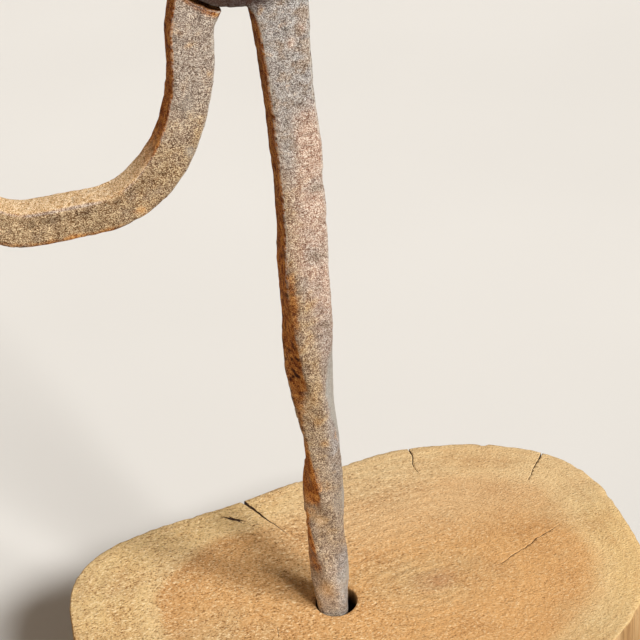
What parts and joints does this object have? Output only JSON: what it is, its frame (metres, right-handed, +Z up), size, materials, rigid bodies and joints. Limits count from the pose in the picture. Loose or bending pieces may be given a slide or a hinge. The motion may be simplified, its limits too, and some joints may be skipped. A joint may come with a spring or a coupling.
{
  "type": "rushlight holder",
  "caption": "Forged iron rushlight nips with a twisted stem set in a log-slice base; a riveted counterbalance arm with a candle socket shuts the jaws.",
  "frame": {"origin": "where the axis of the stem's hole meets the underside of the wooden base", "axes": "+Z up along the stem, the nips open and shut in the XZ plane with the arm towards -X, +Y to the back"},
  "size_m": [0.1499, 0.0895, 0.245],
  "materials": {
    "end_grain_wood": "raw end grain, dry",
    "wrought_iron": "hammered, pitted, old rust",
    "rivet_iron": "hammered heads, old rust",
    "sheet_iron": "rolled sheet, old rust"
  },
  "bodies": {
    "stand": {"wood_base": "end_grain_wood", "stem": "wrought_iron", "pivot_rivet": "rivet_iron"},
    "swing_arm": {"counterbalance_arm": "wrought_iron", "candle_socket": "sheet_iron", "socket_floor": "sheet_iron"}
  },
  "joints": [
    {"name": "jaw_pivot", "type": "hinge", "parent": "stand", "child": "swing_arm", "pos_m": [-0.0085, 0, 0.195], "axis": [0, 1, 0], "range_deg": [0, 45]}
  ]
}
